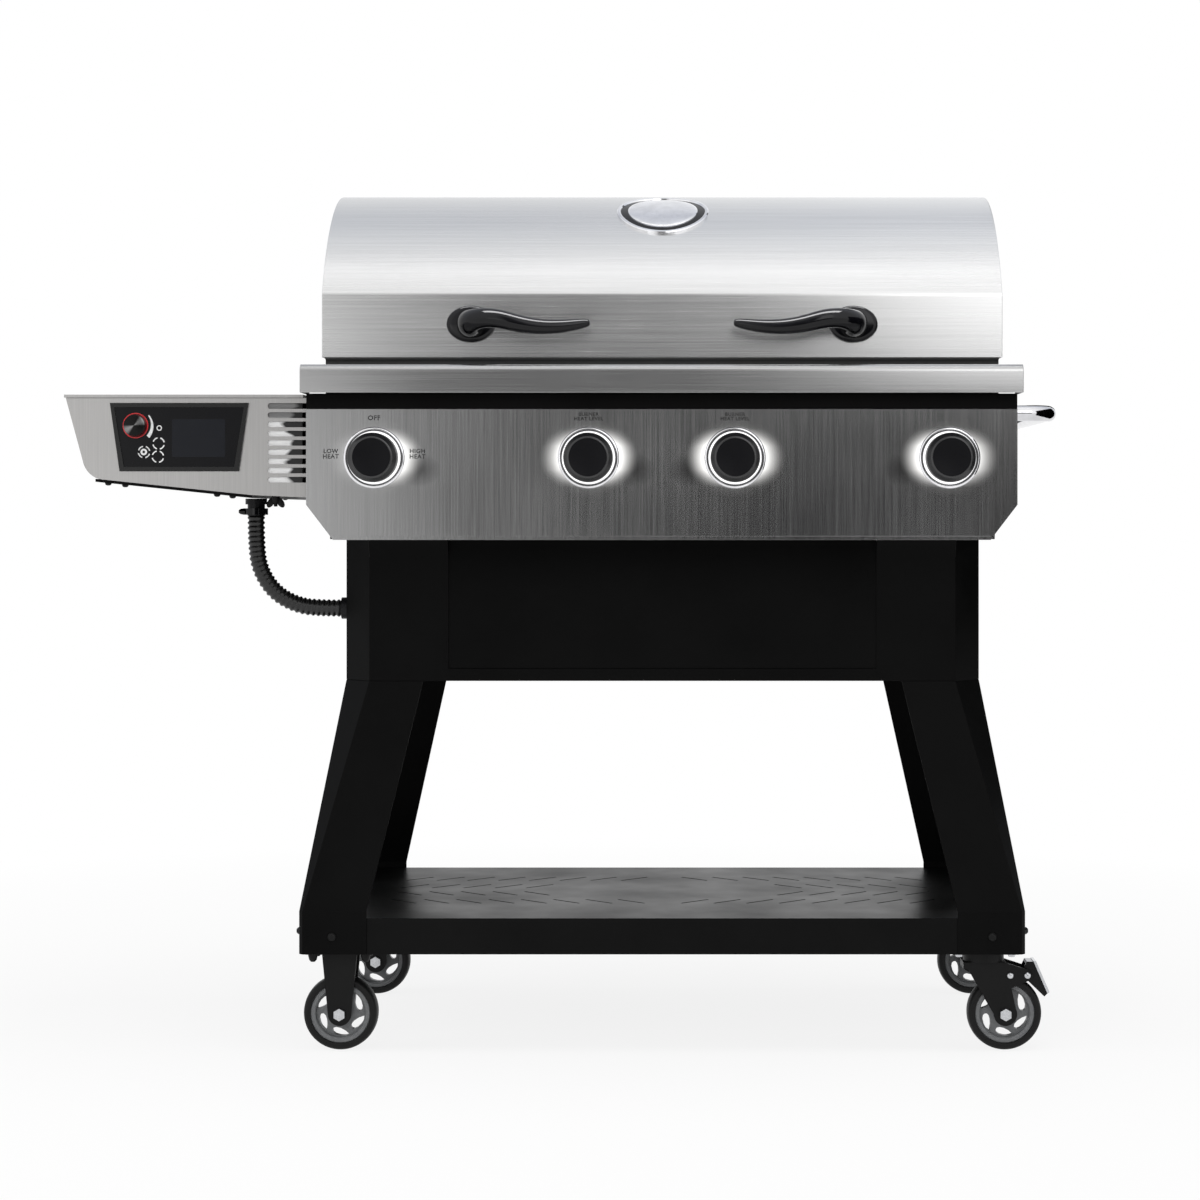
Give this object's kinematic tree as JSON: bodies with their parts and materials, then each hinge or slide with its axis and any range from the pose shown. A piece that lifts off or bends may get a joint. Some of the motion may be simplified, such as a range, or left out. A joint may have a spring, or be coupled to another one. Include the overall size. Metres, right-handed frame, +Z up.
{
  "type": "grill",
  "caption": "Freestanding outdoor grill on a wheeled cart: arched steel lid with horn handles, knob panel, pellet hopper side box and slotted bottom shelf.",
  "frame": {"origin": "centre of the overall box in plan, on the floor under the wheels", "axes": "+X to the right seen by the cook, from the side box to the bar handle; +Y to the back; +Z up"},
  "size_m": [1.351, 0.642, 1.193],
  "materials": {
    "stainless": "brushed",
    "black_paint": "satin black powder coat",
    "chrome": "polished",
    "black_handle": "gloss black",
    "black_knob": "gloss black",
    "tyre": "smooth black",
    "hub_grey": "satin grey",
    "zinc": "zinc plated",
    "caster_black": "satin black",
    "cast_iron": "enamelled",
    "dark_steel": "heat resistant",
    "plain_steel": "mill finish",
    "aluminium": "cast",
    "brass": "plain",
    "black_plastic": "fine grain",
    "dark_glass": "gloss black",
    "conduit": "ribbed black"
  },
  "bodies": {
    "cart": {"bottom_shelf": "black_paint", "leg_front_left": "black_paint", "leg_front_right": "black_paint", "leg_rear_left": "black_paint", "leg_rear_right": "black_paint", "base_cabinet": "black_paint", "rigid_forks": "caster_black", "rigid_axles": "zinc", "swivel_plates": "caster_black", "firebox": "dark_steel", "cooking_grates": "cast_iron", "heat_deflector": "dark_steel", "fire_pot": "cast_iron", "igniter_rod": "plain_steel", "auger_tube": "plain_steel", "auger_motor": "black_plastic", "fan_housing": "plain_steel", "gas_burners": "plain_steel", "gas_manifold": "plain_steel", "burner_valves": "brass", "mode_switch": "black_plastic", "control_box": "black_paint", "control_panel": "stainless", "front_ledge": "stainless", "knob_bezels": "chrome", "lid_hinge_brackets": "stainless", "side_box": "stainless", "side_box_floor": "black_paint", "hopper_bin": "plain_steel", "controller_bezel": "black_plastic", "controller_glass": "dark_glass", "conduit_fittings": "zinc", "conduit": "conduit", "side_handle": "chrome"},
    "lid": {"lid_shell": "stainless", "lid_handles": "black_handle", "lid_hinge_leaves": "stainless"},
    "hopper_cover": {"hopper_lid": "stainless"},
    "mode_control": {"mode_knob": "black_knob"},
    "burner_control_left": {"burner_knob_left": "black_knob"},
    "burner_control_centre": {"burner_knob_centre": "black_knob"},
    "burner_control_right": {"burner_knob_right": "black_knob"},
    "dial": {"controller_dial": "black_knob"},
    "button": {"power_button": "black_plastic"},
    "auger": {"auger_screw": "plain_steel"},
    "fan": {"fan_rotor": "aluminium"},
    "wheel_front_left": {"tyre_front_left": "tyre", "wheel_hub_front_left": "hub_grey"},
    "wheel_rear_left": {"tyre_rear_left": "tyre", "wheel_hub_rear_left": "hub_grey"},
    "swivel_front": {"swivel_fork_front": "caster_black", "swivel_axle_front": "zinc"},
    "swivel_rear": {"swivel_fork_rear": "caster_black", "swivel_axle_rear": "zinc"},
    "wheel_front_right": {"tyre_front_right": "tyre", "wheel_hub_front_right": "hub_grey"},
    "wheel_rear_right": {"tyre_rear_right": "tyre", "wheel_hub_rear_right": "hub_grey"},
    "brake_front": {"brake_pedal_front": "zinc"},
    "brake_rear": {"brake_pedal_rear": "zinc"}
  },
  "joints": [
    {"name": "lid_hinge", "type": "hinge", "parent": "cart", "child": "lid", "pos_m": [0.1275, 0.313, 0.942], "axis": [-1, 0, 0], "range_deg": [0, 92]},
    {"name": "hopper_lid_hinge", "type": "hinge", "parent": "cart", "child": "hopper_cover", "pos_m": [-0.50915, 0.27, 0.8857], "axis": [-1, 0, 0], "range_deg": [0, 100]},
    {"name": "mode_knob_turn", "type": "hinge", "parent": "cart", "child": "mode_control", "pos_m": [-0.2575, -0.286, 0.81], "axis": [0, -1, 0], "range_deg": [-90, 90]},
    {"name": "burner_knob_left_turn", "type": "hinge", "parent": "cart", "child": "burner_control_left", "pos_m": [0.0295, -0.286, 0.81], "axis": [0, -1, 0], "range_deg": [0, 180]},
    {"name": "burner_knob_centre_turn", "type": "hinge", "parent": "cart", "child": "burner_control_centre", "pos_m": [0.2255, -0.286, 0.81], "axis": [0, -1, 0], "range_deg": [0, 180]},
    {"name": "burner_knob_right_turn", "type": "hinge", "parent": "cart", "child": "burner_control_right", "pos_m": [0.5125, -0.286, 0.81], "axis": [0, -1, 0], "range_deg": [0, 180]},
    {"name": "dial_turn", "type": "hinge", "parent": "cart", "child": "dial", "pos_m": [-0.58, -0.269, 0.8535], "axis": [0, -1, 0], "continuous": true},
    {"name": "power_button_press", "type": "slide", "parent": "cart", "child": "button", "axis": [0, 1, 0], "range_m": [0, 0.0012], "stiffness_N_per_m": 400},
    {"name": "auger_turn", "type": "hinge", "parent": "cart", "child": "auger", "pos_m": [-0.2025, 0.034, 0.795], "axis": [1, 0, 0], "continuous": true},
    {"name": "fan_turn", "type": "hinge", "parent": "cart", "child": "fan", "pos_m": [0.1275, 0.034, 0.62], "axis": [0, 0, 1], "continuous": true},
    {"name": "wheel_front_left_spin", "type": "hinge", "parent": "cart", "child": "wheel_front_left", "pos_m": [-0.3135, -0.186, 0.051], "axis": [0, 1, 0], "continuous": true},
    {"name": "swivel_front_turn", "type": "hinge", "parent": "cart", "child": "swivel_front", "pos_m": [0.5685, -0.186, 0.117], "axis": [0, 0, 1], "continuous": true},
    {"name": "wheel_front_right_spin", "type": "hinge", "parent": "swivel_front", "child": "wheel_front_right", "pos_m": [0.5965, -0.186, 0.051], "axis": [0, 1, 0], "continuous": true},
    {"name": "brake_front_pedal", "type": "hinge", "parent": "swivel_front", "child": "brake_front", "pos_m": [0.6265, -0.186, 0.104], "axis": [0, -1, 0], "range_deg": [0, 10]},
    {"name": "wheel_rear_left_spin", "type": "hinge", "parent": "cart", "child": "wheel_rear_left", "pos_m": [-0.3135, 0.254, 0.051], "axis": [0, 1, 0], "continuous": true},
    {"name": "swivel_rear_turn", "type": "hinge", "parent": "cart", "child": "swivel_rear", "pos_m": [0.5685, 0.254, 0.117], "axis": [0, 0, 1], "continuous": true},
    {"name": "wheel_rear_right_spin", "type": "hinge", "parent": "swivel_rear", "child": "wheel_rear_right", "pos_m": [0.5965, 0.254, 0.051], "axis": [0, 1, 0], "continuous": true},
    {"name": "brake_rear_pedal", "type": "hinge", "parent": "swivel_rear", "child": "brake_rear", "pos_m": [0.6265, 0.254, 0.104], "axis": [0, -1, 0], "range_deg": [0, 10]}
  ]
}
